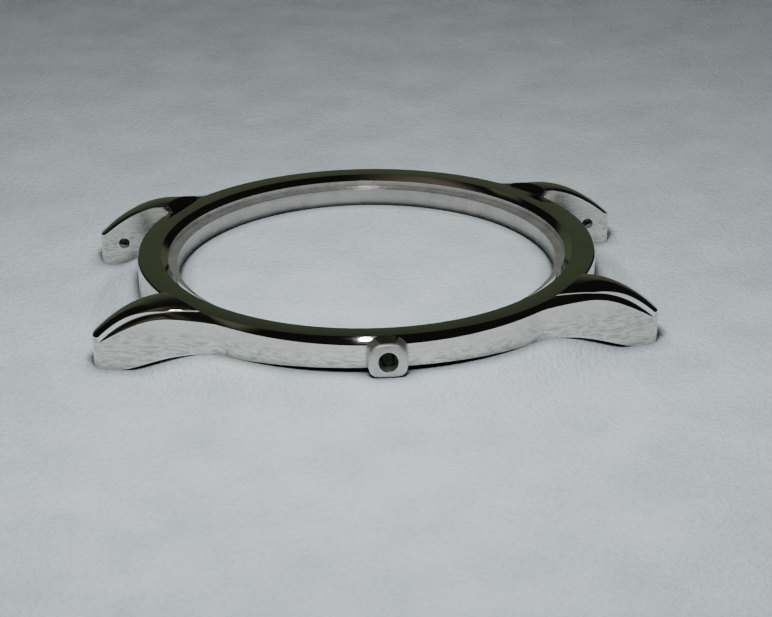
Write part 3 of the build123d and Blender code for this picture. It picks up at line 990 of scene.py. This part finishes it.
def buildFloor(name, radii, material, mirrored):
    sides = floorLook["sides"]
    points = [(0, 0, floorHeight(0, 0))]
    for radius in radii:
        for side in range(sides):
            angle = 2 * pi * side / sides
            points.append((radius * cos(angle), radius * sin(angle), floorHeight(radius, angle)))
    faces = [(0, 1 + side, 1 + (side + 1) % sides) for side in range(sides)] if radii[0] < 1 else []
    for ring in range(len(radii) - 1):
        for side in range(sides):
            after = (side + 1) % sides
            low, high = 1 + ring * sides, 1 + (ring + 1) * sides
            faces.append((low + side, high + side, high + after, low + after))
    mesh = newMesh(name, points, faces)
    mesh.shade_smooth()
    mesh.materials.append(material)
    floor = bpy.data.objects.new(name, mesh)
    floor.visible_glossy = mirrored
    bpy.context.scene.collection.objects.link(floor)


def areaLight(name, place, target, size, energy, colour, mirrored):
    light = bpy.data.lights.new(name, "AREA")
    light.shape = "DISK"
    light.size = size * mm
    light.energy = energy
    light.color = colour
    lamp = bpy.data.objects.new(name, light)
    lamp.location = Vector(place) * mm
    lamp.rotation_mode = "QUATERNION"
    lamp.rotation_quaternion = (Vector(target) * mm - lamp.location).to_track_quat("-Z", "Y")
    lamp.visible_glossy = mirrored      # polished steel shows the lamp, or stays dark
    lamp.visible_diffuse = not mirrored  # the cloth is lit by the soft lights alone
    bpy.context.scene.collection.objects.link(lamp)
    return lamp


room = dict(
    tones=((0.0, (0.030, 0.036, 0.028)), (0.05, (0.070, 0.090, 0.052)), (0.2, (0.066, 0.084, 0.048)),
           (0.38, (0.050, 0.062, 0.037)), (0.5, (0.037, 0.045, 0.028)), (0.6, (0.019, 0.021, 0.014)),
           (0.74, (0.009, 0.009, 0.007))),
    black=(0.0075, 0.0072, 0.0068), brownFar=(0.088, 0.085, 0.056), brownNear=(0.105, 0.092, 0.068),
    twelve=(0.47, 0.58), twelveLean=0.5, six=(-0.44, -0.54), sixLean=-0.3, beside=(-0.45, -0.15),
    brownSide=(0.12, -0.32), farStart=(-0.57, -0.50), farStop=(-0.35, -0.41), farEnd=(-0.52, -0.42),
    nearStart=(-0.32, -0.08), nearStop=(0.3, 0.12), nearFoot=(0.5, 0.62))


def between(tree, value, span):
    # a smooth rise from 0 to 1
    rise = node(tree, "MapRange", {"From Min": span[0], "From Max": span[1]}, interpolation_type="SMOOTHSTEP")
    tree.links.new(value, rise.inputs["Value"])
    return rise.outputs["Result"]


def product(tree, first, *others):
    for other in others:
        first = total(tree, first, other, "MULTIPLY")
    return first


def slant(tree, across, up, share):
    # across plus a share of up
    scaled = node(tree, "Math", {1: share}, operation="MULTIPLY")
    tree.links.new(up, scaled.inputs[0])
    return total(tree, across, scaled.outputs["Value"])


def painted(tree, under, tone, amount):
    mixed = node(tree, "Mix", data_type="RGBA")
    mixed.inputs["B"].default_value = (*tone, 1)
    tree.links.new(amount, mixed.inputs["Factor"])
    tree.links.new(under, mixed.inputs["A"])
    return mixed.outputs["Result"]


def dimRoom():
    # a green wall behind nine o'clock, black above and beside it, dim brown on the six o'clock side
    world = bpy.data.worlds.new("dim room")
    world.use_nodes = True
    tree = world.node_tree
    place = node(tree, "TexCoord")
    split = node(tree, "SeparateXYZ")
    tree.links.new(place.outputs["Generated"], split.inputs["Vector"])
    x, y, z = split.outputs["X"], split.outputs["Y"], split.outputs["Z"]
    ramp = node(tree, "ValToRGB")
    while len(ramp.color_ramp.elements) < len(room["tones"]):
        ramp.color_ramp.elements.new(0.5)
    for element, (position, tone) in zip(ramp.color_ramp.elements, room["tones"]):
        element.position = position
        element.color = (*tone, 1)
    tree.links.new(z, ramp.inputs["Fac"])
    beyondTwelve = between(tree, slant(tree, y, z, room["twelveLean"]), room["twelve"])
    beyondSix = between(tree, slant(tree, y, z, room["sixLean"]), room["six"])
    shown = ramp.outputs["Color"]
    for amount in (beyondTwelve, beyondSix, between(tree, x, room["beside"])):
        shown = painted(tree, shown, room["black"], amount)
    brownSide = between(tree, y, room["brownSide"])
    far = product(tree, between(tree, x, room["farStart"]), between(tree, x, room["farStop"]),
                  brownSide, between(tree, y, room["farEnd"]))
    near = product(tree, between(tree, x, room["nearStart"]), between(tree, x, room["nearStop"]),
                   brownSide, between(tree, z, room["nearFoot"]))
    shown = painted(tree, shown, room["brownFar"], far)
    shown = painted(tree, shown, room["brownNear"], near)
    tree.links.new(shown, tree.nodes["Background"].inputs["Color"])
    bpy.context.scene.world = world


# the camera stands on the crown side, a little to the left, looking down at the case
view = dict(distance=185.56, elevation=23.60, azimuth=-4.919, roll=-0.617, sideways=-1.659, upwards=1.748,
            aim=-1.134, lens=99.19)


def directionOf(azimuth, elevation):
    across, raised = radians(azimuth), radians(elevation)
    return Vector((cos(raised) * cos(across), cos(raised) * sin(across), sin(raised)))


def buildCamera():
    back = directionOf(view["azimuth"], view["elevation"])
    level = Vector((0, 0, 1)).cross(back).normalized()
    upright = back.cross(level)
    tilt = radians(view["roll"])
    right = level * cos(tilt) + upright * sin(tilt)
    up = upright * cos(tilt) - level * sin(tilt)
    eye = back * view["distance"] - right * view["sideways"] - up * view["upwards"]
    eye += Vector((0, 0, view["aim"]))
    lens = bpy.data.cameras.new("camera")
    lens.lens = view["lens"]
    lens.sensor_width = 36
    lens.clip_start = 1 * mm
    lens.clip_end = 20000 * mm
    camera = bpy.data.objects.new("camera", lens)
    turned = Matrix((right, up, back)).transposed().to_4x4()
    turned.translation = eye * mm
    camera.matrix_world = turned
    bpy.context.scene.collection.objects.link(camera)
    bpy.context.scene.camera = camera


lamps = dict(
    keyAzimuth=-5.2, keyElevation=53.5, keyDistance=420, keySize=30, keyEnergy=0.5,
    softPlace=(51.8, -6.7, 90.3), softAim=(-49.7, 0, -2), softSize=32, softEnergy=0.18,
    fillPlace=(-30, 0, 350), fillSize=300, fillEnergy=0.15, wash=(0.96, 0.99, 1.0), warm=(1.0, 0.93, 0.92))

radii = floorRadii()
cloth = floorMaterial()
edge = next(index for index, radius in enumerate(radii) if radius > floorLook["mirroredWidth"])
buildFloor("floor", radii[:edge + 1], cloth, True)
buildFloor("far floor", radii[edge:], cloth, False)  # polished steel shows the room there, not the cloth
dimRoom()
buildCamera()
keyPlace = directionOf(lamps["keyAzimuth"], lamps["keyElevation"]) * lamps["keyDistance"]
areaLight("key lamp", keyPlace, (0, 0, 0),
          lamps["keySize"], lamps["keyEnergy"], lamps["warm"], True)
areaLight("soft light", lamps["softPlace"], lamps["softAim"],
          lamps["softSize"], lamps["softEnergy"], lamps["wash"], False)
areaLight("fill light", lamps["fillPlace"], (0, 0, 0),
          lamps["fillSize"], lamps["fillEnergy"], lamps["wash"], False)
print("stage made")
